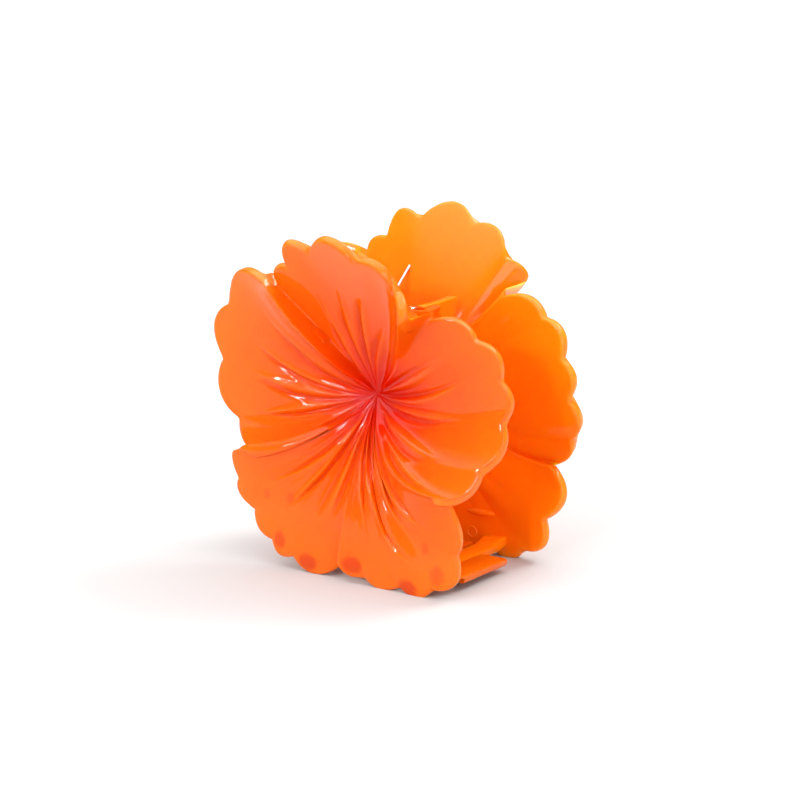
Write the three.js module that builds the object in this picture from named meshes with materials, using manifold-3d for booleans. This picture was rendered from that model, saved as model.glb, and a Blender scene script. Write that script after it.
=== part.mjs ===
// A spring hair claw clip. Each half is one moulding: a five-petal hibiscus shell with hinge arms
// and claw fingers. The halves turn on a steel pin, and a torsion spring keeps them closed.
// Millimetres, +Z up. The hinge runs along X, the front flower faces -Y and the clip stands on Z = 0.
import * as THREE from 'three';
import { mergeVertices } from 'three/addons/utils/BufferGeometryUtils.js';
import Module from 'manifold-3d';

const wasm = await Module();
wasm.setup();

// ---- shell ----
const WALL = 2.6; // wall of the petals; every depth below is from the mid plane to the wall's middle
const THROAT = { x: 0, depth: 8.6, z: 47.6 }; // where the petals meet
const THROAT_START = 0.07; // fraction of a petal's length where its first row lies
const LOBE_BULGE = 0.22; // height of a scallop over the length between its notches
const LOBE_COLUMNS = 5; // steps across one scallop
const PETAL_ROWS = 6; // steps from throat to rim
const STEP_SHIFT = 0.75; // columns that the inner face of a step lies behind the outer one
const SWEEP = 0.15; // how far the veins leave the throat towards the ground
const VEIN = { height: 0.6, end: 0.7 }; // raised veins, and the fraction of the petal they reach

// Petals in order round the throat, counter-clockwise as seen from outside. rim holds the notches
// between scallops: [x, depth, z]. Each petal begins at a step above the one before it. From throat to
// rim it either swells early or flares late, and crown lifts its middle. bulges gives the scallops
// that differ from the rest.
const PETALS = [
  {
    rim: [[29.4, 26.6, 27.6], [38.8, 21.3, 36.1], [41.2, 15.5, 47.1], [39.6, 14.3, 57.1],
      [33.3, 15.7, 66.5], [19.3, 16.8, 69.5]],
    swell: 1.9, crown: 0.5, veins: [0.2, 0.4, 0.57, 0.76], bulges: {},
  },
  {
    rim: [[19.3, 28.8, 69.5], [15.4, 26.1, 78.6], [4.8, 28.3, 85.5], [-7.3, 26.1, 87.7],
      [-18.3, 23.3, 80.5], [-22.4, 21.8, 74]],
    flare: 1.5, crown: 0, veins: [0.24, 0.42, 0.57, 0.7], bulges: { 4: 0.4 },
  },
  {
    rim: [[-22.4, 23.4, 74], [-40, 16.6, 67.4], [-43.4, 15.2, 52.7], [-38.7, 15.2, 37.4], [-28.8, 18.6, 29.3]],
    swell: 1.9, crown: 0.5, veins: [0.2, 0.38, 0.56, 0.76], bulges: { 0: 0.36 },
  },
  {
    rim: [[-28.8, 21.6, 29.3], [-35.4, 19.8, 23.3], [-30.8, 19.4, 15.7], [-25.6, 19.4, 8.4],
      [-19, 19.2, 4.8], [-4, 18.6, 6]],
    swell: 1.5, crown: 2.5, veins: [0.16, 0.34, 0.55], bulges: { 0: 0.62, 4: 0.27 },
  },
  {
    rim: [[-4, 21.5, 6], [3.8, 20.4, 3.7], [14.6, 20.4, 2.9], [24.4, 20.8, 3.6],
      [31, 20.2, 12.8], [29.4, 23, 27.6]],
    swell: 1.5, crown: 2.5, veins: [0.2, 0.38, 0.55, 0.75], bulges: { 3: 0.27, 4: 0.38 },
  },
];

// ---- hinge ----
const HINGE = { middle: -1.8, z: 65 }; // pin axis along X at y = 0
const PIN = { radius: 1, length: 28, sides: 16 };
const PIN_BORE = 1.25;
const KNUCKLE = 2.9; // outer radius of an arm round the pin
const ARM_WIDTH = 2.4;
const BACK_ARM = 8.4; // distance of each arm's middle from the hinge's middle
const FRONT_ARM = 11.3;
// Side view of an arm beyond the knuckle: [depth, z]. It ends inside the petal wall.
const FRONT_ARM_OUTLINE = [[1.5, 68.3], [9, 70.5], [17.5, 74], [18, 66], [14, 52], [10, 55], [2, 63.3]];
const BACK_ARM_OUTLINE = [[1, 68.5], [8, 67.6], [16, 69.5], [17, 62], [13, 53], [9, 57], [2, 63.3]];

// ---- spring ----
const WIRE = 0.42; // radius
const COIL = { radius: 3.08, turns: 11, length: 13, steps: 10, sides: 5 };
const LEG = { rise: 39.4, length: 17 }; // degrees above level, millimetres from the coil

// ---- claw fingers ----
const FRONT_FINGERS = [[-22.4, 6, -8.4], [-6.7, 6.2, -16.4], [9, 6.2, -16.4], [26.7, 6.2, -8.4]]; // [x, width, tip]
const BACK_FINGERS = [[-14.1, 6.2, -16.4], [0.7, 6.2, -16.4], [17.3, 6.2, -16.4]];
// Side view of a finger from its petal to its tip: [depth, z]. Past the mid plane the depth is negative.
const fingerOutline = (tip) => [[22, 10.5], [22, 4.4], [17, 3.4], [8, 3.2], [tip + 1, 3.2], [tip, 4],
  [tip + 0.8, 5.2], [6, 5.4], [13, 6.4], [16.5, 10.5]];
// Rounded rib inside the lower petal
const GRIP_RIB = { x: 11.5, z: 11.6, length: 9, radius: 1.2, depth: 19.6 };

const TRIM = { skin: 0.7, far: 25, spread: 1.06 }; // how far below a petal's face the parts behind it end
const STAND = { floor: 1.3, middle: -1.605 }; // height that the scallops are cut flat at, and middle in X
const MERGE = 2e-3; // vertices closer than this are one

const solidOf = (geometry) => {
  const plain = geometry.clone();
  plain.deleteAttribute('normal');
  plain.deleteAttribute('uv');
  const merged = mergeVertices(plain, MERGE);
  return new wasm.Manifold(new wasm.Mesh({
    numProp: 3,
    vertProperties: merged.attributes.position.array,
    triVerts: new Uint32Array(merged.index.array),
  }));
};

const geometryOf = (solid) => {
  const mesh = solid.getMesh();
  const geometry = new THREE.BufferGeometry();
  geometry.setAttribute('position', new THREE.BufferAttribute(mesh.vertProperties, 3));
  geometry.setIndex(new THREE.BufferAttribute(mesh.triVerts, 1));
  return geometry;
};

const join = (solids) => solids.reduce((sum, solid) => sum.add(solid));

// The largest body of a joined solid, without the hollows that the joining sealed.
const largest = (solid) => solid.decompose().sort((a, b) => b.volume() - a.volume())[0];
const filled = (solid) => largest(solidOf(geometryOf(largest(solid))));

// ---- petals ----

// Rim point of a petal at v, 0 at its leading edge and 1 at the other.
const rimPoint = (petal, v) => {
  const count = petal.rim.length - 1;
  petal.curve ??= new THREE.CatmullRomCurve3(
    petal.rim.map(([x, depth, z]) => new THREE.Vector3(x, depth, z)), false, 'catmullrom', 0.5);
  const point = petal.curve.getPoint(v);
  const lobe = Math.min(Math.floor(v * count), count - 1);
  const along = v * count - lobe;
  const [x0, , z0] = petal.rim[lobe];
  const [x1, , z1] = petal.rim[lobe + 1];
  const bulge = (petal.bulges[lobe] ?? LOBE_BULGE) * Math.sin(Math.PI * along) ** 0.75;
  point.x += bulge * (z1 - z0);
  point.z -= bulge * (x1 - x0);
  return point;
};

// Point in the middle of a petal's wall: u from throat to rim, v across.
const petalPoint = (petal, u, v) => {
  const rim = rimPoint(petal, v);
  const dx = rim.x - THROAT.x;
  const dz = rim.z - THROAT.z;
  const reach = Math.hypot(dx, dz);
  const pull = 2 * u * (1 - u) * SWEEP * (dx / reach) * (1 - dz / reach);
  const climb = petal.swell ? 1 - (1 - u) ** petal.swell : u ** petal.flare;
  const depth = THROAT.depth + (rim.y - THROAT.depth) * climb + petal.crown * 4 * u * (1 - u);
  return new THREE.Vector3(THROAT.x + u * dx + pull * dz, -depth, THROAT.z + u * dz - pull * dx);
};

const countOf = (petal) => (petal.rim.length - 1) * LOBE_COLUMNS;

// All columns of the flower, petal after petal.
const COLUMNS = PETALS.flatMap((petal, k) => {
  const count = countOf(petal);
  const veins = petal.veins.map((v) => Math.round(v * count));
  const next = PETALS[(k + 1) % PETALS.length];
  return Array.from({ length: count + 1 }, (_, j) => ({ petal, next, j, count, vein: veins.includes(j) }));
});

const outerMiddle = ({ petal, j, count }, u) => petalPoint(petal, u, j / count);

// The same for the inner face, where the two columns of a step lie further into the proud petal.
const innerMiddle = ({ petal, next, j, count }, u) => {
  if (j === 0) return petalPoint(petal, u, STEP_SHIFT / count);
  if (j < count) return petalPoint(petal, u, j / count);
  return petalPoint(next, u, STEP_SHIFT / countOf(next)).setY(petalPoint(petal, u, 1).y);
};

// Direction from the outer face to the inner one. It turns straight back towards the throat.
const inwardAt = ({ petal, j, count }, u) => {
  const step = 1 / PETAL_ROWS;
  const at = (du, dj) => petalPoint(petal,
    THREE.MathUtils.clamp(u + du, 0, 1), THREE.MathUtils.clamp(j + dj, 0, count) / count);
  const outwards = at(step, 0).sub(at(-step / 2, 0));
  const across = at(0, 1).sub(at(0, -1));
  const straight = THREE.MathUtils.smoothstep(1 - u, 0.6, 0.95);
  return across.cross(outwards).normalize().lerp(new THREE.Vector3(0, 1, 0), straight).normalize();
};

const veinLift = (u) => VEIN.height * Math.sin(Math.PI * Math.min(1, u / VEIN.end));

// Closed geometry between two rounds of points, each with rows of columns and last its middle point.
const closedRound = (outer, inner) => {
  const width = COLUMNS.length;
  const below = outer.length;
  const faces = [];
  const quad = (a, b, c, d) => faces.push(a, b, c, a, c, d);
  for (let j = 0; j < width; j += 1) {
    const k = (j + 1) % width;
    faces.push(below - 1, j, k, 2 * below - 1, below + k, below + j);
    for (let i = 0; i < PETAL_ROWS; i += 1) {
      const a = i * width;
      quad(a + j, a + width + j, a + width + k, a + k);
      quad(below + a + j, below + a + k, below + a + width + k, below + a + width + j);
    }
    const rim = PETAL_ROWS * width;
    quad(rim + j, below + rim + j, below + rim + k, rim + k);
  }
  const geometry = new THREE.BufferGeometry().setFromPoints([...outer, ...inner]);
  geometry.setIndex(faces);
  return geometry;
};

const ROWS = Array.from({ length: PETAL_ROWS + 1 },
  (_, i) => THROAT_START + (1 - THROAT_START) * (i / PETAL_ROWS));
const throatAt = (depth) => new THREE.Vector3(THROAT.x, -depth, THROAT.z);

const outerFace = () => [
  ...ROWS.flatMap((u) => COLUMNS.map((column) => outerMiddle(column, u)
    .addScaledVector(inwardAt(column, u), -WALL / 2 - (column.vein ? veinLift(u) : 0)))),
  throatAt(THROAT.depth + WALL / 2),
];

const innerFace = () => [
  ...ROWS.flatMap((u) => COLUMNS.map((column) => innerMiddle(column, u)
    .addScaledVector(inwardAt(column, u), WALL / 2))),
  throatAt(THROAT.depth - WALL / 2),
];

const shellSolid = () => solidOf(closedRound(outerFace(), innerFace()));

// Room in front of the shell, from just below its face outwards: it trims what meets the wall from behind.
const roomInFront = () => {
  const moved = (distance) => outerFace().map(({ x, y, z }) => new THREE.Vector3(
    THROAT.x + (x - THROAT.x) * TRIM.spread, y + distance, THROAT.z + (z - THROAT.z) * TRIM.spread));
  return solidOf(closedRound(moved(-TRIM.far), moved(TRIM.skin)));
};

// ---- arms and fingers ----

// A plate seen from the side: outline of [depth, z], middle at x, standing on the front half's side.
const plate = (outline, x, width) => {
  const shape = new THREE.Shape(outline.map(([depth, z]) => new THREE.Vector2(-depth, z)));
  const geometry = new THREE.ExtrudeGeometry(shape, { depth: width, bevelEnabled: false });
  geometry.applyMatrix4(new THREE.Matrix4().set(
    0, 0, 1, x - width / 2,
    1, 0, 0, 0,
    0, 1, 0, 0,
    0, 0, 0, 1));
  return solidOf(geometry);
};

const cylinderAlongX = (radius, length, x, sides) => {
  const geometry = new THREE.CylinderGeometry(radius, radius, length, sides);
  return geometry.rotateZ(Math.PI / 2).translate(x, 0, HINGE.z);
};

const arm = (outline, x) => plate(outline, x, ARM_WIDTH)
  .add(solidOf(cylinderAlongX(KNUCKLE, ARM_WIDTH, x, 20)))
  .subtract(solidOf(cylinderAlongX(PIN_BORE, ARM_WIDTH * 2, x, 20)));

const arms = (outline, distance) => join([-1, 1].map((side) => arm(outline, HINGE.middle + side * distance)));

const fingers = (places) => join(places.map(([x, width, tip]) => plate(fingerOutline(tip), x, width)));

const gripRib = () => {
  const rib = new THREE.CylinderGeometry(GRIP_RIB.radius, GRIP_RIB.radius, GRIP_RIB.length, 8);
  return solidOf(rib.rotateZ(Math.PI / 2).translate(GRIP_RIB.x, -GRIP_RIB.depth, GRIP_RIB.z));
};

// ---- halves, as the front one; the back one is turned over in the mid plane ----
const shell = shellSolid();
const room = roomInFront();
const trimmed = (solid) => solid.subtract(room);
const below = solidOf(new THREE.BoxGeometry(200, 100, 20).translate(0, 0, STAND.floor - 10));

const frontSolid = filled(shell
  .subtract(below)
  .add(trimmed(arms(FRONT_ARM_OUTLINE, FRONT_ARM)))
  .add(trimmed(fingers(FRONT_FINGERS)))
  .add(trimmed(gripRib())));
const backSolid = filled(shell
  .subtract(below)
  .add(trimmed(arms(BACK_ARM_OUTLINE, BACK_ARM)))
  .add(trimmed(fingers(BACK_FINGERS)))
  .add(trimmed(gripRib()))
  .mirror([0, 1, 0]));

// ---- spring ----

// Wire path: front leg, coil from its right end to its left end, back leg.
const springPath = () => {
  const start = HINGE.middle + COIL.length / 2;
  const tilt = THREE.MathUtils.degToRad(LEG.rise);
  const onCoil = (angle, x) => new THREE.Vector3(
    x, COIL.radius * Math.cos(angle), HINGE.z + COIL.radius * Math.sin(angle));
  const first = -Math.PI / 2 - tilt;
  const last = -Math.PI / 2 + tilt + 2 * Math.PI * COIL.turns;
  const points = [];
  const frontLeg = new THREE.Vector3(0, -Math.cos(tilt), Math.sin(tilt));
  for (const reach of [1, 0.66, 0.33]) {
    points.push(onCoil(first, start).addScaledVector(frontLeg, reach * LEG.length));
  }
  const steps = COIL.turns * COIL.steps;
  for (let k = 0; k <= steps; k += 1) {
    points.push(onCoil(first + (last - first) * (k / steps), start - COIL.length * (k / steps)));
  }
  const backLeg = new THREE.Vector3(0, Math.cos(tilt), Math.sin(tilt));
  for (const reach of [0.33, 0.66, 1]) {
    points.push(onCoil(last, start - COIL.length).addScaledVector(backLeg, reach * LEG.length));
  }
  return points;
};

const spring = () => {
  const points = springPath();
  const section = new THREE.Shape();
  for (let k = 0; k < COIL.sides; k += 1) {
    const angle = (2 * Math.PI * k) / COIL.sides;
    const corner = [WIRE * Math.cos(angle), WIRE * Math.sin(angle)];
    if (k) section.lineTo(...corner);
    else section.moveTo(...corner);
  }
  const path = new THREE.CatmullRomCurve3(points);
  return new THREE.ExtrudeGeometry(section, { steps: points.length - 1, extrudePath: path, bevelEnabled: false });
};

// ---- the clip ----
const plastic = () => new THREE.MeshStandardMaterial({ color: 0xfb7020, roughness: 0.2, metalness: 0 });
const steel = () => new THREE.MeshStandardMaterial({ color: 0xc9c9c6, roughness: 0.25, metalness: 1 });

const clip = new THREE.Group();
const place = (name, geometry, material) => {
  const mesh = new THREE.Mesh(geometry, material);
  mesh.name = name;
  clip.add(mesh);
};
place('front_half', geometryOf(frontSolid), plastic());
place('back_half', geometryOf(backSolid), plastic());
place('hinge_pin', cylinderAlongX(PIN.radius, PIN.length, HINGE.middle, PIN.sides), steel());
place('spring', spring(), steel());
clip.position.set(-STAND.middle, 0, -STAND.floor);

export default clip;
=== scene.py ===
"""Looks of a sprung hair claw clip whose two halves are hibiscus flowers in glossy orange plastic."""
import math

import bmesh
import bpy
import numpy as np
from mathutils import Matrix, Vector, kdtree


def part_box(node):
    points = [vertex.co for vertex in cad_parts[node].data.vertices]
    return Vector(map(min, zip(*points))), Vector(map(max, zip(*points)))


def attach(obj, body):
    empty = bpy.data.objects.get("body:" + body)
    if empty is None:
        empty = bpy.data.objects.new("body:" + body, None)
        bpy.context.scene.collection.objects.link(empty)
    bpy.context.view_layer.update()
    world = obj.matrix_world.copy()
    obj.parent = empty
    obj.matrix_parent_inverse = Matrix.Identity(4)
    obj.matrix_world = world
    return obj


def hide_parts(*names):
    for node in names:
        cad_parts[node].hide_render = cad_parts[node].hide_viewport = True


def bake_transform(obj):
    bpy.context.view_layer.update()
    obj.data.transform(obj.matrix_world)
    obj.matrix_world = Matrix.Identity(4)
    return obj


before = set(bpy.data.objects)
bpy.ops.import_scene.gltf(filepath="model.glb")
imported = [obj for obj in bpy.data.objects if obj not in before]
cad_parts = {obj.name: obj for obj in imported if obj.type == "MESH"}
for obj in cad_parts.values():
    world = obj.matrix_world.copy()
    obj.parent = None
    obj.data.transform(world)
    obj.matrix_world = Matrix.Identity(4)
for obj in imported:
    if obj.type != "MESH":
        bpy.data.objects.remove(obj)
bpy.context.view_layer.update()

MM = 0.001

# ---- drawing frame: millimetres, the hinge at z = HINGE["z"], depth measured from the mid plane ----
WALL = 2.6
THROAT = {"x": 0.0, "depth": 8.6, "z": 47.6}
LOBE_BULGE = 0.22
LOBE_REACH = 1.06  # how far the middle of a lobe's tip lies beyond the plain rim, on average
SWEEP = 0.15
BOW = {"angle": -34.2, "span": 24.0, "size": 0.15}  # further bend of the petals' edges near one angle
HINGE = {"middle": -1.8, "z": 65.0}

# The petals against the clock from the right one, seen from the front:
# rim: notches between the lobes, as (x, depth, z)
# swell: exponent of a petal that climbs fast and flattens towards the rim; flare: of one that steepens outwards
# crown: lift of the petal's middle; bulges: lobes whose bulge isn't LOBE_BULGE
# veins: place across the petal at the throat, place at the far end, fraction of the petal where the vein ends,
# and height, negative where the groove is on the other side
PETALS = [
    {
        "rim": [(29.4, 26.6, 27.6), (38.8, 21.3, 36.1), (41.2, 15.5, 47.1), (39.6, 14.3, 57.1),
                (33.3, 15.7, 66.5), (19.3, 16.8, 69.5)],
        "swell": 1.9, "crown": 0.5, "bulges": {},
        "veins": [(0.83, 0.82, 0.75, 0.8), (0.58, 0.68, 0.76, 0.9), (0.36, 0.45, 0.72, -1),
                  (0.15, 0.22, 0.72, -1), (0.08, 0.075, 0.9, -0.8)],
    },
    {
        "rim": [(19.3, 28.8, 69.5), (15.4, 26.1, 78.6), (4.8, 28.3, 85.5), (-9.9, 26.1, 85.6),
                (-18.3, 23.3, 80.5), (-22.4, 19.6, 74)],
        "flare": 1.5, "crown": 0.0, "bulges": {2: 0.28, 3: 0.45, 4: 0.4},
        "veins": [(0.97, 0.69, 0.72, 0.9), (0.73, 0.54, 0.74, 0.9), (0.58, 0.4, 0.74, 1.1),
                  (0.5, 0.265, 0.56, 0.8)],
    },
    {
        "rim": [(-22.4, 23.4, 74), (-40, 16.6, 67.4), (-43.4, 15.2, 52.7), (-38.7, 15.2, 37.4),
                (-28.8, 18.6, 29.3)],
        "swell": 1.9, "crown": 0.5, "bulges": {0: 0.36},
        "veins": [(0.28, 0.17, 0.76, 1), (0.47, 0.295, 0.78, 1.1), (0.545, 0.487, 0.86, 1.1),
                  (0.62, 0.69, 0.8, 1), (0.8, 0.86, 0.6, 0.6)],
    },
    {
        "rim": [(-28.8, 21.6, 29.3), (-35.4, 19.8, 23.3), (-30.8, 19.4, 15.7), (-25.6, 19.4, 8.4),
                (-19, 19.2, 4.8), (-4, 18.6, 6)],
        "swell": 1.5, "crown": 2.5, "bulges": {0: 0.62, 4: 0.27},
        "veins": [(0.42, 0.255, 0.8, -0.9), (0.56, 0.5, 0.8, 1.2), (0.83, 0.8, 0.8, -0.8),
                  (0.9, 0.87, 0.74, 0.8)],
    },
    {
        "rim": [(-4, 21.5, 6), (3.8, 20.4, 3.7), (14.6, 20.4, 2.9), (24.4, 20.8, 3.6),
                (31, 20.2, 12.8), (29.4, 23, 27.6)],
        "swell": 1.5, "crown": 2.5, "bulges": {3: 0.27, 4: 0.38},
        "veins": [(0.08, 0.33, 0.76, 0.9), (0.22, 0.66, 0.9, 1.1), (0.6, 0.77, 0.73, 1.1),
                  (0.86, 0.84, 0.87, 0.9)],
    },
]

FRONT_LOW_LOBE = 0.13  # bulge of the front flower's lobe beside the end finger


def petals(side):
    """The five petals of one half."""
    if side > 0:
        return PETALS
    last = PETALS[-1]
    return PETALS[:-1] + [{**last, "bulges": {**last["bulges"], 4: FRONT_LOW_LOBE}}]


# ---- fineness of the shell ----
LOBE_COLUMNS = 22
LOBE_SAMPLES = 40  # of the rim's curve
LOBE_ROUND = 0.75  # exponent of a lobe's sine; below 1 the lobe is blunter
HALVINGS = 24  # of the interval in which the plain rim's place is looked for
ROWS = 54
FIRST_ROW = 0.03  # fraction of a petal's length
RIM_STEPS = 9
RIM_ROUND = 1.1  # how far the rounded rim reaches past the last row
RIM_SQUARE = 2.6  # exponent of the rim's section, 2 being a half round
STEP_SHIFT = 3.0  # the inner face of a step lies this far behind the outer one
STEP_TOP = 1.5  # width of the rounding along the top of a step
STEP_FOOT = 1.0  # width of the hollow along its foot
STEP_SHARE = 0.4  # most that each of those two takes of the step's height
TOP_POINTS, FOOT_POINTS = 6, 5
MOST_SHARE = 0.2  # of a petal's width, for any distance across it
NORMAL_REACH = 1.2  # distance to each side over which the wall's direction is taken
NORMAL_GAP = 1e-3  # and the fraction of the petal's length
STRAIGHT = (0.4, 0.05)  # fractions of the length between which the wall's direction turns straight back
VEIN_WIDTH = 0.95
VEIN_HEIGHT = 0.65
VEIN_TURN = 1.3  # above 1 a vein turns aside late
VEIN_ROOT = {"size": 0.22, "full": 0.4}  # part of its width at the throat, and where the width is full
VEIN_TIP = {"from": 0.6, "loss": 0.55}  # where along the vein it starts to narrow, and by how much
VEIN_RISE = (0.02, 0.3)  # fractions of the petal's length between which its height grows
VEIN_FADE = 0.62  # place along the vein from which its height fades
CREST = {"height": 0.8, "off": -0.8}  # against the groove, which is 1 deep; off is in vein widths
GROOVE = {"off": 0.5, "width": 0.75}
# Solid that trims arms and fingers: depth of its edge, how far it spreads past the rim, and its far end
ROOM = {"behind": 12.0, "spread": 1.6, "far": 60.0, "row_step": 3}

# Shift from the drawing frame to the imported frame
PIN_LOW, PIN_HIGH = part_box("hinge_pin")
SHIFT = Vector((
    (PIN_LOW[0] + PIN_HIGH[0]) / 2 - HINGE["middle"] * MM,
    0,
    (PIN_LOW[2] + PIN_HIGH[2]) / 2 - HINGE["z"] * MM,
))


def placed(x, depth, z, side):
    """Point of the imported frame: side -1 is the front half, 1 the back one."""
    return Vector((x * MM, side * depth * MM, z * MM)) + SHIFT


# ---- petals ----
def catmull_rom(points, t):
    """Point at t from 0 to 1 on the curve through points, with its ends mirrored."""
    count = len(points) - 1
    place = min(max(t, 0.0), 1.0) * count
    k = min(int(place), count - 1)
    w = place - k
    p1, p2 = points[k], points[k + 1]
    p0 = points[k - 1] if k > 0 else 2 * p1 - p2
    p3 = points[k + 2] if k + 2 <= count else 2 * p2 - p1
    return 0.5 * (2 * p1 + (p2 - p0) * w + (2 * p0 - 5 * p1 + 4 * p2 - p3) * w * w
                  + (3 * p1 - p0 - 3 * p2 + p3) * w ** 3)


def polar(point):
    """Angle and distance from the throat, seen from the front."""
    dx, dz = point[0] - THROAT["x"], point[2] - THROAT["z"]
    return math.atan2(dz, dx), math.hypot(dx, dz)


def rim_column(petal, v):
    """End of the column at v: x, depth, z, and how far it lies past the smooth curve through the notches."""
    rim = [np.array(p, float) for p in petal["rim"]]
    count = len(rim) - 1
    lobe = min(int(v * count), count - 1)
    along = min(max(v * count - lobe, 0.0), 1.0)
    bulge = petal["bulges"].get(lobe, LOBE_BULGE) * math.sin(math.pi * along) ** LOBE_ROUND
    chord = rim[lobe + 1] - rim[lobe]
    end = catmull_rom(rim, v) + bulge * np.array((chord[2], 0.0, -chord[0]))
    if "swell" in petal:
        return np.append(end, 1.0)
    turn, reach = polar(end)
    low, high = 0.0, 1.0
    for _ in range(HALVINGS):
        middle = (low + high) / 2
        ahead = math.remainder(polar(catmull_rom(rim, middle))[0] - turn, math.tau)
        low, high = (low, middle) if ahead > 0 else (middle, high)
    plain = catmull_rom(rim, (low + high) / 2)
    return np.array((end[0], plain[1], end[2], reach / polar(plain)[1]))


def unit(rows):
    """Rows scaled to length 1."""
    return rows / np.linalg.norm(rows, axis=-1, keepdims=True)


def smoothstep(low, high, x):
    """Smooth rise from 0 at low to 1 at high; a fall where low is the larger."""
    t = np.clip((x - low) / (high - low), 0, 1)
    return t * t * (3 - 2 * t)


class Sheet:
    """One petal, sampled at rows of fractions us from the throat to the rim, and places v across it."""

    def __init__(self, petal):
        self.petal = petal
        ends = [np.array(p, float) for p in petal["rim"]]
        self.width = float(sum(np.linalg.norm(b - a) for a, b in zip(ends, ends[1:])))
        self.reach = float(np.mean([polar(p)[1] for p in petal["rim"]]))
        self.us = FIRST_ROW + (1 - RIM_ROUND / self.reach - FIRST_ROW) * np.linspace(0, 1, ROWS)
        self.places = np.linspace(0, 1, (len(ends) - 1) * LOBE_SAMPLES + 1)
        self.table = np.array([rim_column(petal, v) for v in self.places])

    def share(self, distance):
        """Part of the petal's width that a distance takes up at each row."""
        return np.minimum(distance / (self.width * self.us), MOST_SHARE)

    def middle(self, v, us=None):
        """Points (x, depth, z) in the middle of the wall; v is one place or one for each row."""
        us = self.us if us is None else us
        vs = np.clip(np.broadcast_to(v, us.shape), 0, 1)
        x, deep, z, past = (np.interp(vs, self.places, self.table[:, k]) for k in range(4))
        dx, dz = x - THROAT["x"], z - THROAT["z"]
        reach = np.hypot(dx, dz)
        off = np.degrees(np.arctan2(dz, dx)) - BOW["angle"]
        bow = SWEEP * (dx / reach) * (1 - dz / reach) + BOW["size"] * np.exp(-(off / BOW["span"]) ** 2)
        pull = 2 * us * (1 - us) * bow
        ws = us * past
        if "swell" in self.petal:
            climb = 1 - np.abs(1 - ws) ** self.petal["swell"]
        else:
            climb = (ws / LOBE_REACH) ** self.petal["flare"]
        depth = THROAT["depth"] + (deep - THROAT["depth"]) * climb + self.petal["crown"] * 4 * ws * (1 - ws)
        return np.stack((THROAT["x"] + us * dx + pull * dz, depth, THROAT["z"] + us * dz - pull * dx), axis=1)

    def inward(self, v):
        """Direction from the outer face to the inner one, straight back near the throat."""
        outwards = self.middle(v, self.us + NORMAL_GAP) - self.middle(v, self.us - NORMAL_GAP)
        step = NORMAL_REACH / (self.width * self.us)
        across = self.middle(np.minimum(v + step, 1)) - self.middle(np.maximum(v - step, 0))
        normal = unit(np.cross(outwards, across))
        normal[normal[:, 1] > 0] *= -1
        straight = smoothstep(*STRAIGHT, self.us)[:, None]
        return unit(normal * (1 - straight) + np.array((0.0, -1.0, 0.0)) * straight)

    def outwards(self, v):
        """Direction in which the wall leaves at the rim."""
        return unit(self.middle(v, self.us) - self.middle(v, self.us - NORMAL_GAP))[-1]

    def veins(self, v):
        """Height over the outer face of the veins: each a crest with a groove along its far side."""
        total = np.zeros(ROWS)
        for start, place, end, height in self.petal["veins"]:
            along = np.clip(self.us / end, 0, 1)
            line = start + (place - start) * along ** VEIN_TURN
            reach = (v - line) * self.width * self.us
            root = VEIN_ROOT["size"] + (1 - VEIN_ROOT["size"]) * smoothstep(0.0, VEIN_ROOT["full"], self.us)
            tip = 1 - VEIN_TIP["loss"] * smoothstep(VEIN_TIP["from"], 1, along)
            off = math.copysign(1, height) * reach / (VEIN_WIDTH * root * tip)
            crest = CREST["height"] * np.exp(-(off - CREST["off"]) ** 2)
            shape = crest - np.exp(-((off - GROOVE["off"]) / GROOVE["width"]) ** 2)
            fade = 1 - smoothstep(VEIN_FADE, 1.0, along)
            rise = smoothstep(*VEIN_RISE, self.us)
            total += abs(height) * VEIN_HEIGHT * shape * fade * rise
        return total

    def outer(self, v):
        """Points of the outer face."""
        return self.middle(v) - self.inward(v) * (WALL / 2 + self.veins(v)[:, None])

    def inner(self, v):
        """Points of the inner face."""
        return self.middle(v) + self.inward(v) * WALL / 2


def bent(a, corner, b, steps):
    """Points of the bend from a over corner towards b, without b."""
    places = np.linspace(0, 1, steps, endpoint=False)
    return [(1 - t) ** 2 * a + 2 * t * (1 - t) * corner + t * t * b for t in places]


def step_columns(low_face, low_edge, high_edge, high_face):
    """Columns from the lower petal's face over the step to the proud petal's face."""
    riser = high_edge - low_edge
    height = np.linalg.norm(riser, axis=1, keepdims=True)
    direction = riser / np.maximum(height, 1e-6)
    foot = low_edge + direction * np.minimum(STEP_FOOT, height * STEP_SHARE)
    top = high_edge - direction * np.minimum(STEP_TOP, height * STEP_SHARE)
    return [*bent(low_face, low_edge, foot, FOOT_POINTS), foot, (foot + top) / 2,
            *bent(top, high_edge, high_face, TOP_POINTS)]


def shell_columns(side):
    """Outer and inner columns round the flower, with each one's outward direction at the rim."""
    sheets = [Sheet(petal) for petal in petals(side)]
    columns = []
    for k, sheet in enumerate(sheets):
        following = sheets[(k + 1) % len(sheets)]
        count = (len(sheet.petal["rim"]) - 1) * LOBE_COLUMNS
        first, last = sheet.share(STEP_TOP), 1 - sheet.share(STEP_FOOT)
        shift = sheet.share(STEP_SHIFT)
        for j in range(count + 1):
            v = first + (last - first) * j / count
            inner_v = shift + first + (last - first - shift) * j / count
            columns.append((sheet.outer(v), sheet.inner(inner_v), sheet.outwards(v)))
        outer = step_columns(sheet.outer(last), sheet.outer(1), following.outer(0),
                             following.outer(following.share(STEP_TOP)))
        under = following.inner(following.share(STEP_SHIFT))
        low = under.copy()
        low[:, 1] = sheet.inner(1)[:, 1]
        inner = step_columns(sheet.inner(last), low, under,
                             following.inner(following.share(STEP_SHIFT) + following.share(STEP_TOP)))
        direction = unit((sheet.outwards(1) + following.outwards(0))[None])[0]
        columns.extend((a, b, direction) for a, b in list(zip(outer, inner))[1:])
    return columns


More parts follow.
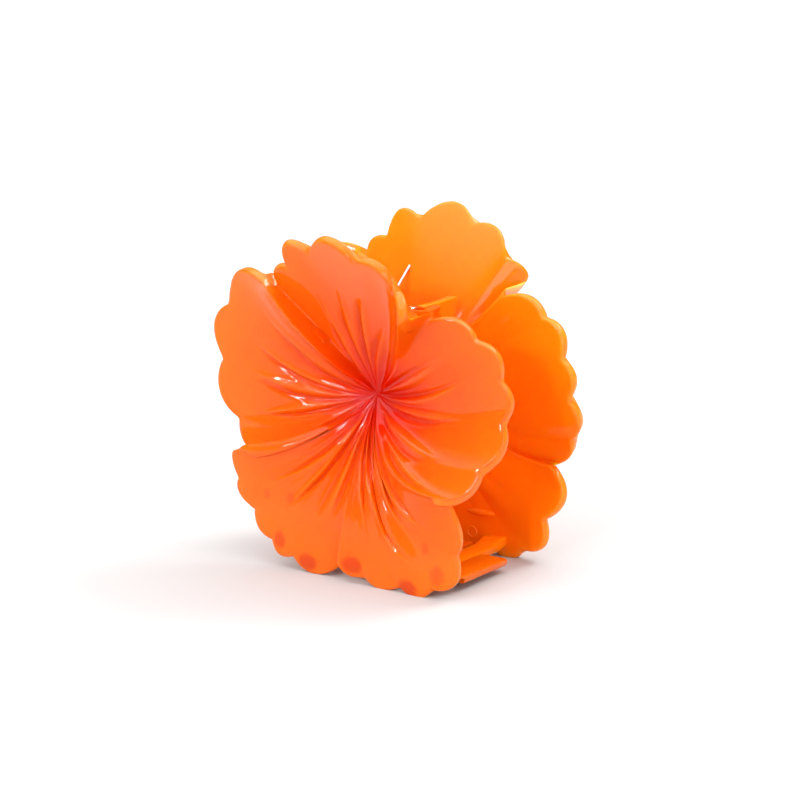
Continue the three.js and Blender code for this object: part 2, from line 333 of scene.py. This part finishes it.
def rim_section(outer, inner, direction):
    """Points over the rounded rim from the outer face to the inner one."""
    middle = (outer + inner) / 2
    half = (outer - inner) / 2
    points = []
    for k in range(1, RIM_STEPS):
        angle = math.pi * k / RIM_STEPS
        level = math.copysign(abs(math.cos(angle)) ** (2 / RIM_SQUARE), math.cos(angle))
        points.append(middle + half * level + direction * RIM_ROUND * math.sin(angle) ** (2 / RIM_SQUARE))
    return points


def room_in_front(side):
    """Closed mesh of the room before the wall's middle and round the rim, to trim arms and fingers with."""
    rounds = []
    for petal in petals(side):
        sheet = Sheet(petal)
        count = (len(petal["rim"]) - 1) * LOBE_COLUMNS // 2
        for j in range(count):
            column = sheet.middle(j / count)
            edge = column[-1].copy()
            edge[1] = ROOM["behind"]
            spread = edge * ROOM["spread"] + np.array((THROAT["x"], 0, THROAT["z"])) * (1 - ROOM["spread"])
            spread[1] = ROOM["behind"] + 1
            rounds.append([*column[::ROOM["row_step"]], edge, spread])
    length, width = len(rounds[0]), len(rounds)
    verts = [placed(*point, side) for column in rounds for point in column]
    far = len(verts)
    verts += [placed(column[-1][0], ROOM["far"], column[-1][2], side) for column in rounds]
    verts += [placed(THROAT["x"], THROAT["depth"], THROAT["z"], side),
              placed(THROAT["x"], ROOM["far"], THROAT["z"], side)]
    faces = []
    for j in range(width):
        a, b = j * length, (j + 1) % width * length
        faces.extend((a + i, a + i + 1, b + i + 1, b + i) for i in range(length - 1))
        here, there = far + j, far + (j + 1) % width
        faces.append((a + length - 1, here, there, b + length - 1))
        faces.append((len(verts) - 2, a, b))
        faces.append((len(verts) - 1, there, here))
    if side < 0:
        faces = [face[::-1] for face in faces]
    return verts, faces


def shell_mesh(side):
    """Closed mesh of one flower shell."""
    columns = shell_columns(side)
    rounds = [[*outer, *rim_section(outer[-1], inner[-1], direction), *inner[::-1]]
              for outer, inner, direction in columns]
    length = len(rounds[0])
    width = len(rounds)
    verts = [placed(*point, side) for column in rounds for point in column]
    verts.append(placed(THROAT["x"], THROAT["depth"] + WALL / 2, THROAT["z"], side))
    verts.append(placed(THROAT["x"], THROAT["depth"] - WALL / 2, THROAT["z"], side))
    faces = []
    for j in range(width):
        a, b = j * length, (j + 1) % width * length
        faces.extend((a + i, a + i + 1, b + i + 1, b + i) for i in range(length - 1))
        faces.append((len(verts) - 2, a, b))
        faces.append((len(verts) - 1, b + length - 1, a + length - 1))
    if side > 0:
        faces = [face[::-1] for face in faces]
    return verts, faces


# ---- other solids, in the drawing frame ----
SHARP_ANGLE = math.radians(50)  # edges that turn more than this stay sharp
BEVEL_SEGMENTS = 3
ROD_SIDES = 48
BEAD_SEGMENTS = (32, 20)
MARK_SEGMENTS = (40, 8)  # round the ring, and round its wire
FLAT_ANGLE = math.radians(2)  # faces that meet at less than this become one


def link_object(name, data):
    """Object of the given mesh, light or camera, in the scene."""
    piece = bpy.data.objects.new(name, data)
    bpy.context.scene.collection.objects.link(piece)
    return piece


def new_object(name, verts, faces):
    """Object with a mesh of the given points and faces."""
    mesh = bpy.data.meshes.new(name)
    mesh.from_pydata([tuple(v) for v in verts], [], faces)
    mesh.validate()
    return link_object(name, mesh)


def bmesh_object(name, bm):
    """Object with the mesh of bm, which is freed."""
    mesh = bpy.data.meshes.new(name)
    bm.to_mesh(mesh)
    bm.free()
    return link_object(name, mesh)


def bevel_edges(bm, width):
    """Rounds every edge."""
    bmesh.ops.recalc_face_normals(bm, faces=bm.faces)
    bmesh.ops.bevel(bm, geom=list(bm.edges), offset=width * MM, segments=BEVEL_SEGMENTS, profile=0.5,
                    affect="EDGES", clamp_overlap=True)


def shade_smooth(piece):
    """Smooth faces between the sharp edges."""
    for polygon in piece.data.polygons:
        polygon.use_smooth = True
    piece.data.set_sharp_from_angle(angle=SHARP_ANGLE)


def plate(name, outline, x, width, side, bevel):
    """Rounded plate seen from the side: outline of (depth, z), middle at x."""
    bm = bmesh.new()
    ring = [bm.verts.new(placed(x - width / 2, depth, z, side)) for depth, z in outline]
    face = bm.faces.new(ring)
    moved = bmesh.ops.extrude_face_region(bm, geom=[face])
    bmesh.ops.translate(bm, vec=(width * MM, 0, 0),
                        verts=[v for v in moved["geom"] if isinstance(v, bmesh.types.BMVert)])
    bevel_edges(bm, bevel)
    return bmesh_object(name, bm)


def rod(name, radius, length, x):
    """Cylinder along the hinge, with its middle at x."""
    bm = bmesh.new()
    bmesh.ops.create_cone(bm, cap_ends=True, segments=ROD_SIDES, radius1=radius * MM, radius2=radius * MM,
                          depth=length * MM)
    bmesh.ops.transform(bm, verts=bm.verts,
                        matrix=(Matrix.Translation(placed(x, 0, HINGE["z"], 1))
                                @ Matrix.Rotation(math.pi / 2, 4, "Y")))
    return bmesh_object(name, bm)


def hull(name, corners, thickness, side, bevel):
    """Plate through corners (x, depth, z)."""
    points = np.array(corners, float)
    normal = unit(np.cross(points[1] - points[0], points[2] - points[0])[None])[0]
    bm = bmesh.new()
    for point in points:
        for level in (-thickness / 2, thickness / 2):
            bm.verts.new(placed(*(point + normal * level), side))
    bmesh.ops.convex_hull(bm, input=bm.verts)
    bmesh.ops.dissolve_limit(bm, angle_limit=FLAT_ANGLE, verts=bm.verts, edges=bm.edges)
    bevel_edges(bm, bevel)
    return bmesh_object(name, bm)


def bead(name, form, side):
    """Long rounded bump with half sizes along x, depth and z."""
    bm = bmesh.new()
    bmesh.ops.create_uvsphere(bm, u_segments=BEAD_SEGMENTS[0], v_segments=BEAD_SEGMENTS[1], radius=MM)
    bmesh.ops.rotate(bm, matrix=Matrix.Rotation(math.pi / 2, 3, "Y"), verts=bm.verts)
    bmesh.ops.scale(bm, vec=form["sizes"], verts=bm.verts)
    bmesh.ops.translate(bm, vec=placed(*form["place"], side), verts=bm.verts)
    return bmesh_object(name, bm)


def pin_mark(name, body, side):
    """Fine round ring that an ejector pin leaves on the inner face."""
    bpy.context.view_layer.update()
    _, place, normal, _ = body.ray_cast(placed(PIN_MARK["x"], PIN_MARK["from"], PIN_MARK["z"], side),
                                        Vector((0, side, 0)))
    turn = normal.to_track_quat("Z", "Y").to_matrix()
    rounds, sides = MARK_SEGMENTS
    verts = []
    for j in range(rounds):
        a = math.tau * j / rounds
        for k in range(sides):
            b = math.tau * k / sides
            reach = PIN_MARK["radius"] + PIN_MARK["thickness"] * math.cos(b)
            verts.append(place + turn @ Vector((reach * math.cos(a), reach * math.sin(a),
                                                PIN_MARK["thickness"] * math.sin(b))) * MM)
    faces = []
    for j in range(rounds):
        for k in range(sides):
            a, b = j * sides, (j + 1) % rounds * sides
            faces.append((a + k, b + k, b + (k + 1) % sides, a + (k + 1) % sides))
    return new_object(name, verts, faces)


def combine(body, others, operation):
    """Joins others to body, or cuts them from it, and removes them."""
    for other in others:
        modifier = body.modifiers.new("combine", "BOOLEAN")
        modifier.object = other
        modifier.operation = operation
        modifier.solver = "MANIFOLD"
        bpy.context.view_layer.update()
        graph = bpy.context.evaluated_depsgraph_get()
        mesh = bpy.data.meshes.new_from_object(body.evaluated_get(graph))
        body.modifiers.remove(modifier)
        old = body.data
        body.data = mesh
        bpy.data.meshes.remove(old)
        bpy.data.objects.remove(other)


# ---- hinge arms and claw fingers ----
PIN_BORE = 1.2  # radius
KNUCKLE = 2.9  # radius
ARM_WIDTH = 2.4
ARM_BEVEL = 0.4
BACK_ARM = 8.4  # distance of an arm from the hinge's middle
FRONT_ARM = 11.3
# Outlines of the arms as (depth, z), from over the pin back to under it
FRONT_ARM_OUTLINE = [(-2.8, 69.2), (2, 68.7), (9, 70), (17.5, 74), (18, 66), (14, 52), (10, 55),
                     (2, 63.3), (-1, 66)]
BACK_ARM_OUTLINE = [(-1, 69.2), (6, 69), (14, 69.2), (18, 66), (17, 62), (13, 53), (9, 57), (2, 63.3)]
# Fingers: middle x, width, depth of the tip, height of the root
FRONT_FINGERS = [(-22.4, 6, -8.4, 12), (-6.7, 6.2, -16.4, 9), (9, 6.2, -16.4, 8), (23.6, 7.8, -8.4, 9.5)]
BACK_FINGERS = [(-14.1, 6.2, -16.4, 8), (0.7, 6.2, -16.4, 9), (16.6, 5.6, -16.4, 6.6)]
FINGER_BEVEL = 0.6
GRIP_RIB = {"place": (11.5, 19.9, 12.0), "sizes": (4.3, 1.25, 1.0)}
PIN_MARK = {"x": 9.1, "z": 6.4, "radius": 1.35, "thickness": 0.22, "from": 8.0}
WEB = [(19, 26.5, 69), (18.2, 16.6, 68), (4.6, 8, 72.8), (4, 12, 74.6), (8, 24.5, 78)]
WEB_THICKNESS = 2.2
WEB_BEVEL = 0.5
FOOT_LEVEL = 1.3  # height at which the lowest lobes are cut flat


def finger_outline(tip, root):
    """Outline of a finger as (depth, z): its root at the petal is root high, its end at depth tip."""
    return [(22, root), (22, 4.4), (17, 3.4), (8, 3.2), (tip + 1, 3.2), (tip, 4),
            (tip + 0.8, 5.2), (6, 5.4), (14, 5.6), (17, root)]


def box_mesh(low, high):
    """Box between two corners, given as (x, y, z)."""
    corners = [placed(x, y, z, 1) for x in (low[0], high[0]) for y in (low[1], high[1])
               for z in (low[2], high[2])]
    faces = [(0, 1, 3, 2), (4, 6, 7, 5), (0, 4, 5, 1), (2, 3, 7, 6), (0, 2, 6, 4), (1, 5, 7, 3)]
    return corners, faces


def half(name, side, arm_outline, arm_distance, finger_places):
    """One flower half: shell, hinge arms and fingers in one mesh."""
    body = new_object(name, *shell_mesh(side))
    extra = [plate(f"finger_{x}", finger_outline(tip, root), x, width, side, FINGER_BEVEL)
             for x, width, tip, root in finger_places]
    for sign in (-1, 1):
        x = HINGE["middle"] + sign * arm_distance
        arm = plate(f"arm_{x}", arm_outline, x, ARM_WIDTH, side, ARM_BEVEL)
        combine(arm, [rod("knuckle", KNUCKLE, ARM_WIDTH, x)], "UNION")
        combine(arm, [rod("bore", PIN_BORE, ARM_WIDTH * 2, x)], "DIFFERENCE")
        extra.append(arm)
    extra.append(bead("grip_rib", GRIP_RIB, side))
    if side < 0:
        extra.append(hull("web", WEB, WEB_THICKNESS, side, WEB_BEVEL))
    extra.append(pin_mark("pin_mark", body, side))
    for piece in extra:
        combine(piece, [new_object("room", *room_in_front(side))], "DIFFERENCE")
    combine(body, extra, "UNION")
    below_feet = new_object("floor_cut", *box_mesh((-100, -60, -20), (100, 60, FOOT_LEVEL)))
    combine(body, [below_feet], "DIFFERENCE")
    return body


front = half("front_flower", -1, FRONT_ARM_OUTLINE, FRONT_ARM, FRONT_FINGERS)
back = half("back_flower", 1, BACK_ARM_OUTLINE, BACK_ARM, BACK_FINGERS)

for piece in (front, back):
    shade_smooth(piece)


# ---- painted light on the shells: painted shade in the grooves, painted shadows seen through the plastic, painted highlights on crests and rims ----
# Painted shadows seen through the plastic, mostly of the fingers: x, z, half width, half height, depth of
# colour
PAINTED_SHADOW_SPOTS = [(-14.1, 4.2, 2.9, 2.3, 0.8), (0.7, 6.2, 2.9, 2.3, 0.8), (17.3, 3.0, 2.9, 2.3, 0.8),
         (-22.4, 8.8, 1.8, 2.3, 0.7), (26.0, 7.5, 2.0, 2.6, 0.5), (22.3, 14, 1.1, 1.6, 0.5),
         (-19, 20.3, 1.1, 1.4, 0.4), (-26.0, 20.5, 1.0, 1.3, 0.4)]
SPOT_EDGE = (0.75, 1.15)  # where a painted shadow starts to fade and where it ends, 1 being its half size
# Amounts written to the vertices: painted shade in the grooves, painted highlights on the crests and the rims
GROOVE_PAINTED_SHADE = 0.9
GROOVE_START = 0.2  # depth of a groove at which its painted shade starts
CREST_PAINTED_HIGHLIGHT = -0.35
RIM_PAINTED_HIGHLIGHT = -0.7
RIM_REACH = 2.2  # millimetres over which the rim's painted highlight fades
TINT_REACH = 0.45  # millimetres from the outer face


def add_painted_light(piece, side):
    """Writes painted light to each vertex near the outer face or the rim: painted shade above 0, painted
    highlight below 0.
    """
    places = []
    tints = []
    for petal in petals(side):
        sheet = Sheet(petal)
        count = (len(petal["rim"]) - 1) * LOBE_COLUMNS
        for j in range(count + 1):
            v = j / count
            heights = sheet.veins(v) / VEIN_HEIGHT
            points = sheet.outer(v)
            for point, height in zip(points, heights):
                places.append(placed(*point, side))
                tints.append(GROOVE_PAINTED_SHADE * max(-height - GROOVE_START, 0.0) + CREST_PAINTED_HIGHLIGHT * max(height, 0.0))
            places.append(placed(*(sheet.middle(v)[-1] + sheet.outwards(v) * RIM_ROUND), side))
            tints.append(RIM_PAINTED_HIGHLIGHT)
    tree = kdtree.KDTree(len(places))
    for k, place in enumerate(places):
        tree.insert(place, k)
    tree.balance()
    layer = piece.data.attributes.new("painted_light", "FLOAT", "POINT")
    values = np.zeros(len(piece.data.vertices), np.float32)
    for vertex in piece.data.vertices:
        _, k, distance = tree.find(vertex.co)
        if tints[k] == RIM_PAINTED_HIGHLIGHT:
            values[vertex.index] = RIM_PAINTED_HIGHLIGHT * max(0.0, 1 - distance / (RIM_REACH * MM))
            continue
        near = distance < TINT_REACH * MM
        painted_light = tints[k] if near else 0.0
        if near:
            x, _, z = (vertex.co - SHIFT) / MM
            for sx, sz, wide, high, size in PAINTED_SHADOW_SPOTS:
                off = math.hypot((x - sx) / wide, (z - sz) / high)
                painted_light += size * float(1 - smoothstep(*SPOT_EDGE, off))
        values[vertex.index] = painted_light
    layer.data.foreach_set("value", values)


add_painted_light(front, -1)
add_painted_light(back, 1)


# ---- materials ----
PAINTED_SHADE = {"colour": (0.52, 0.01, 0.0005, 1), "share": 0.75}  # painted shade, where painted_light is above 0
PAINTED_HIGHLIGHT = {"colour": (0.88, 0.26, 0.015, 1), "share": -0.6}  # painted highlight, where it is below 0
THROAT_PAINTED_SHADE = {"x": 3, "z": -1.5}  # middle of the red painted shade in the throat's funnel, from the throat; partly the plastic's own deeper colour where it is thick
RED_SPAN = (0.004, 0.052)  # metres from there over which the red painted shade fades out
CLOUDS = {"scale": 90, "detail": 3, "shift": 0.008}  # shift is in metres
GLOSS = (0.04, 0.09)  # range of the roughness
ORANGE_PEEL = {"scale": 260, "strength": 0.04, "distance": 0.0004}
PLASTIC_IOR = 1.5
PLASTIC_SPECULAR = 0.27
# From dark red at the throat to orange: painted shade of the funnel, partly the plastic's deeper colour where
# it is thick
FRONT_PLASTIC = {
    "stops": [(0.0, (0.42, 0.001, 0.0001, 1)), (0.18, (0.56, 0.008, 0.0002, 1)),
              (0.42, (0.7, 0.07, 0.0006, 1)), (1.0, (0.74, 0.136, 0.002, 1))],
    "radius": (1.0, 0.55, 0.15), "scale": 0.0008,
}
# Paler and yellower than the front half's orange: painted glow of light coming through the back half from
# behind, slightly deeper towards the throat
BACK_PLASTIC_PAINTED_GLOW = {
    "stops": [(0.0, (0.92, 0.13, 0.001, 1)), (1.0, (0.94, 0.2, 0.002, 1))],
    "radius": (1.0, 0.8, 0.2), "scale": 0.002,
}
STEEL = {"scale": 900, "dark": (0.5, 0.5, 0.49, 1), "bright": (0.78, 0.78, 0.76, 1), "roughness": (0.15, 0.3)}


def node_material(name):
    """New material, with its nodes, links and shader."""
    material = bpy.data.materials.new(name)
    material.use_nodes = True
    nodes = material.node_tree.nodes
    return material, nodes, material.node_tree.links, nodes["Principled BSDF"]


def set_roughness(nodes, links, shader, noise, span):
    """Roughness that follows the noise between two values."""
    rough = nodes.new("ShaderNodeMapRange")
    rough.inputs["To Min"].default_value, rough.inputs["To Max"].default_value = span
    links.new(noise.outputs["Fac"], rough.inputs["Value"])
    links.new(rough.outputs["Result"], shader.inputs["Roughness"])


def plastic(name, side, look):
    """Glossy plastic, reddest at the throat as painted shade, darker by painted shade and paler by painted
    highlight from its vertices' painted_light attribute.
    """
    material, nodes, links, shader = node_material(name)
    coordinates = nodes.new("ShaderNodeTexCoord")
    offset = nodes.new("ShaderNodeVectorMath")
    offset.operation = "SUBTRACT"
    offset.inputs[1].default_value = placed(THROAT["x"] + THROAT_PAINTED_SHADE["x"], THROAT["depth"],
                                            THROAT["z"] + THROAT_PAINTED_SHADE["z"], side)
    links.new(coordinates.outputs["Object"], offset.inputs[0])
    distance = nodes.new("ShaderNodeVectorMath")
    distance.operation = "LENGTH"
    links.new(offset.outputs[0], distance.inputs[0])
    noise = nodes.new("ShaderNodeTexNoise")
    noise.inputs["Scale"].default_value = CLOUDS["scale"]
    noise.inputs["Detail"].default_value = CLOUDS["detail"]
    links.new(coordinates.outputs["Object"], noise.inputs["Vector"])
    wobble = nodes.new("ShaderNodeMath")
    wobble.operation = "MULTIPLY_ADD"
    wobble.inputs[1].default_value = CLOUDS["shift"]
    links.new(noise.outputs["Fac"], wobble.inputs[0])
    links.new(distance.outputs["Value"], wobble.inputs[2])
    span = nodes.new("ShaderNodeMapRange")
    span.inputs["From Min"].default_value, span.inputs["From Max"].default_value = RED_SPAN
    links.new(wobble.outputs[0], span.inputs["Value"])
    ramp = nodes.new("ShaderNodeValToRGB")
    stops = look["stops"]
    elements = ramp.color_ramp.elements
    elements[0].position, elements[0].color = stops[0]
    elements[1].position, elements[1].color = stops[-1]
    for place, colour in stops[1:-1]:
        element = elements.new(place)
        element.color = colour
    links.new(span.outputs["Result"], ramp.inputs["Fac"])
    painted_light = nodes.new("ShaderNodeAttribute")
    painted_light.attribute_name = "painted_light"
    colour = ramp.outputs["Color"]
    for change in (PAINTED_SHADE, PAINTED_HIGHLIGHT):
        amount = nodes.new("ShaderNodeMath")
        amount.operation = "MULTIPLY"
        amount.use_clamp = True
        amount.inputs[1].default_value = change["share"]
        links.new(painted_light.outputs["Fac"], amount.inputs[0])
        mixed = nodes.new("ShaderNodeMix")
        mixed.data_type = "RGBA"
        links.new(amount.outputs[0], mixed.inputs["Factor"])
        links.new(colour, mixed.inputs["A"])
        mixed.inputs["B"].default_value = change["colour"]
        colour = mixed.outputs["Result"]
    links.new(colour, shader.inputs["Base Color"])
    set_roughness(nodes, links, shader, noise, GLOSS)
    fine = nodes.new("ShaderNodeTexNoise")
    fine.inputs["Scale"].default_value = ORANGE_PEEL["scale"]
    links.new(coordinates.outputs["Object"], fine.inputs["Vector"])
    bump = nodes.new("ShaderNodeBump")
    bump.inputs["Strength"].default_value = ORANGE_PEEL["strength"]
    bump.inputs["Distance"].default_value = ORANGE_PEEL["distance"]
    links.new(fine.outputs["Fac"], bump.inputs["Height"])
    links.new(bump.outputs["Normal"], shader.inputs["Normal"])
    shader.inputs["IOR"].default_value = PLASTIC_IOR
    shader.inputs["Subsurface Weight"].default_value = 1
    shader.inputs["Specular IOR Level"].default_value = PLASTIC_SPECULAR
    shader.inputs["Subsurface Radius"].default_value = look["radius"]
    shader.inputs["Subsurface Scale"].default_value = look["scale"]
    return material


def steel(name):
    """Bright steel with slightly uneven colour and gloss."""
    material, nodes, links, shader = node_material(name)
    coordinates = nodes.new("ShaderNodeTexCoord")
    noise = nodes.new("ShaderNodeTexNoise")
    noise.inputs["Scale"].default_value = STEEL["scale"]
    links.new(coordinates.outputs["Object"], noise.inputs["Vector"])
    ramp = nodes.new("ShaderNodeValToRGB")
    ramp.color_ramp.elements[0].color = STEEL["dark"]
    ramp.color_ramp.elements[1].color = STEEL["bright"]
    links.new(noise.outputs["Fac"], ramp.inputs["Fac"])
    links.new(ramp.outputs["Color"], shader.inputs["Base Color"])
    set_roughness(nodes, links, shader, noise, STEEL["roughness"])
    shader.inputs["Metallic"].default_value = 1
    return material


# ---- spring and pin ----
WIRE = 0.42  # radius
COIL = {"radius": 3.08, "turns": 11, "length": 13, "steps": 28}  # steps are those of one turn
LEG = {"rise": 39.4, "length": 19, "points": 12}  # rise is in degrees
TUBE_SIDES = 12
PIN_SIDES = 40


def spring_path():
    """Points of the wire: front leg, coil from its right end to its left end, back leg."""
    start = HINGE["middle"] + COIL["length"] / 2
    tilt = math.radians(LEG["rise"])

    def on_coil(angle, x):
        return np.array((x, COIL["radius"] * math.cos(angle), HINGE["z"] + COIL["radius"] * math.sin(angle)))

    first = -math.pi / 2 - tilt
    last = -math.pi / 2 + tilt + math.tau * COIL["turns"]
    reaches = np.linspace(1, 0, LEG["points"] + 1)[:-1]
    front_leg = np.array((0, -math.cos(tilt), math.sin(tilt))) * LEG["length"]
    back_leg = np.array((0, math.cos(tilt), math.sin(tilt))) * LEG["length"]
    steps = COIL["turns"] * COIL["steps"]
    points = [on_coil(first, start) + front_leg * reach for reach in reaches]
    points += [on_coil(first + (last - first) * k / steps, start - COIL["length"] * k / steps)
               for k in range(steps + 1)]
    points += [on_coil(last, start - COIL["length"]) + back_leg * reach for reach in reaches[::-1]]
    return points


def ring_faces(count, sides):
    """Faces between count rings of points, with a face over each end."""
    faces = []
    for j in range(count - 1):
        for k in range(sides):
            a, b = j * sides + k, j * sides + (k + 1) % sides
            faces.append((a, b, b + sides, a + sides))
    faces.append(tuple(range(sides))[::-1])
    faces.append(tuple(range((count - 1) * sides, count * sides)))
    return faces


def tube(name, path, radius, sides):
    """Closed tube along a path of points (x, y, z)."""
    points = np.array(path)
    along = unit(np.gradient(points, axis=0))
    across = unit(np.cross(along[0], (1.0, 0.0, 0.0))[None])[0]
    verts = []
    for point, direction in zip(points, along):
        across = across - direction * (across @ direction)
        across /= np.linalg.norm(across)
        other = np.cross(direction, across)
        for k in range(sides):
            angle = math.tau * k / sides
            verts.append(placed(*(point + radius * (across * math.cos(angle) + other * math.sin(angle))), 1))
    return new_object(name, verts, ring_faces(len(points), sides))


def lathe(name, profile, sides):
    """Solid of revolution about the hinge: profile of (x, radius), from one end to the other."""
    turns = [math.tau * k / sides for k in range(sides)]
    verts = [placed(x, radius * math.cos(turn), HINGE["z"] + radius * math.sin(turn), 1)
             for x, radius in profile for turn in turns]
    return new_object(name, verts, ring_faces(len(profile), sides))


# The pin as (x, radius), with a head at its left end and a spread right end
PIN_PROFILE = [(-15.8, 0.5), (-15.75, 1.0), (-15.5, 1.35), (-15.1, 1.5), (-14.8, 1.5), (-14.7, 1.4),
               (-14.65, 1.0), (10.9, 1.0), (11.0, 1.12), (11.3, 1.3), (11.8, 1.3), (12.05, 1.1), (12.2, 0.7)]
wire = tube("spring_coil", spring_path(), WIRE, TUBE_SIDES)
pin = lathe("pin_turned", PIN_PROFILE, PIN_SIDES)
for piece in (wire, pin):
    shade_smooth(piece)

front.data.materials.clear()
front.data.materials.append(plastic("front_plastic", -1, FRONT_PLASTIC))
back.data.materials.clear()
back.data.materials.append(plastic("back_plastic_painted_glow", 1, BACK_PLASTIC_PAINTED_GLOW))
wire.data.materials.append(steel("spring_steel"))
pin.data.materials.append(steel("pin_steel"))

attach(front, "front")
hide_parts("front_half")
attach(back, "back")
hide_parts("back_half")
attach(pin, "back")
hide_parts("hinge_pin")
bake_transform(wire)
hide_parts("spring")


# ---- stage, lights and camera ----
# Strength of the sky, from dim below the height low to bright above high, the zenith being at 1
SKY = {"low": 0.55, "high": 0.88, "dim": 0.18, "bright": 2.9}
FLOOR = {"half": 4, "shade": 0.5, "roughness": 0.8, "specular": 0.1}


def stage():
    """Pale floor under a sky that is bright overhead."""
    bpy.context.scene.view_settings.view_transform = "Standard"
    corners = [(x * FLOOR["half"], y * FLOOR["half"], 0) for x, y in ((-1, -1), (1, -1), (1, 1), (-1, 1))]
    floor = new_object("floor", corners, [(0, 1, 2, 3)])
    material, _, _, shader = node_material("floor")
    shader.inputs["Base Color"].default_value = (FLOOR["shade"], FLOOR["shade"], FLOOR["shade"], 1)
    shader.inputs["Roughness"].default_value = FLOOR["roughness"]
    shader.inputs["Specular IOR Level"].default_value = FLOOR["specular"]
    floor.data.materials.append(material)
    world = bpy.data.worlds.new("studio")
    bpy.context.scene.world = world
    world.use_nodes = True
    nodes = world.node_tree.nodes
    links = world.node_tree.links
    direction = nodes.new("ShaderNodeTexCoord")
    parts = nodes.new("ShaderNodeSeparateXYZ")
    links.new(direction.outputs["Generated"], parts.inputs[0])
    sky = nodes.new("ShaderNodeMapRange")
    sky.interpolation_type = "SMOOTHSTEP"
    sky.inputs["From Min"].default_value = SKY["low"]
    sky.inputs["From Max"].default_value = SKY["high"]
    sky.inputs["To Min"].default_value = SKY["dim"]
    sky.inputs["To Max"].default_value = SKY["bright"]
    links.new(parts.outputs["Z"], sky.inputs["Value"])
    links.new(sky.outputs["Result"], nodes["Background"].inputs["Strength"])
    nodes["Background"].inputs["Color"].default_value = (1, 1, 1, 1)


AZIMUTH = math.radians(34.2)
ELEVATION = math.radians(13.83)
DISTANCE = 0.93
TARGET = placed(0, 0, 44, -1)
LENS = 166.1
SENSOR = 36
CLIP_START = 0.01
LAMP_DISTANCE = 3
# Soft boxes: azimuth and elevation in degrees, width and height in metres, radiance
LAMPS = {
    "strip_near": (8, 14, 0.1, 0.7, 85),
    "strip_main": (-8, 25, 2.1, 0.11, 75),
    "strip_left": (-88, 20, 0.1, 0.6, 90),
    "side": (66, 18, 2.5, 1.6, 3.6),
    "behind": (150, 50, 1.2, 1.2, 11),
}


def towards(azimuth, elevation):
    """Direction from the clip to an azimuth, 0 being in front, and an elevation, in radians."""
    return Vector((math.sin(azimuth) * math.cos(elevation),
                   -math.cos(azimuth) * math.cos(elevation), math.sin(elevation)))


def camera():
    """The camera at the photograph's viewing angle."""
    data = bpy.data.cameras.new("camera")
    data.lens = LENS
    data.sensor_width = SENSOR
    data.clip_start = CLIP_START
    eye = link_object("camera", data)
    direction = towards(AZIMUTH, ELEVATION)
    eye.location = TARGET + direction * DISTANCE
    eye.rotation_euler = (-direction).to_track_quat("-Z", "Y").to_euler()
    bpy.context.scene.camera = eye


def lamp_at(name, azimuth, elevation, width, height, radiance):
    """Soft box that shines on the clip."""
    light = bpy.data.lights.new(name, "AREA")
    light.shape = "RECTANGLE"
    light.size = width
    light.size_y = height
    light.energy = radiance * math.pi * width * height
    lamp = link_object(name, light)
    place = TARGET + LAMP_DISTANCE * towards(math.radians(azimuth), math.radians(elevation))
    lamp.location = place
    lamp.rotation_euler = (TARGET - place).to_track_quat("-Z", "Y").to_euler()


stage()
camera()
for lamp_name, lamp_values in LAMPS.items():
    lamp_at(lamp_name, *lamp_values)
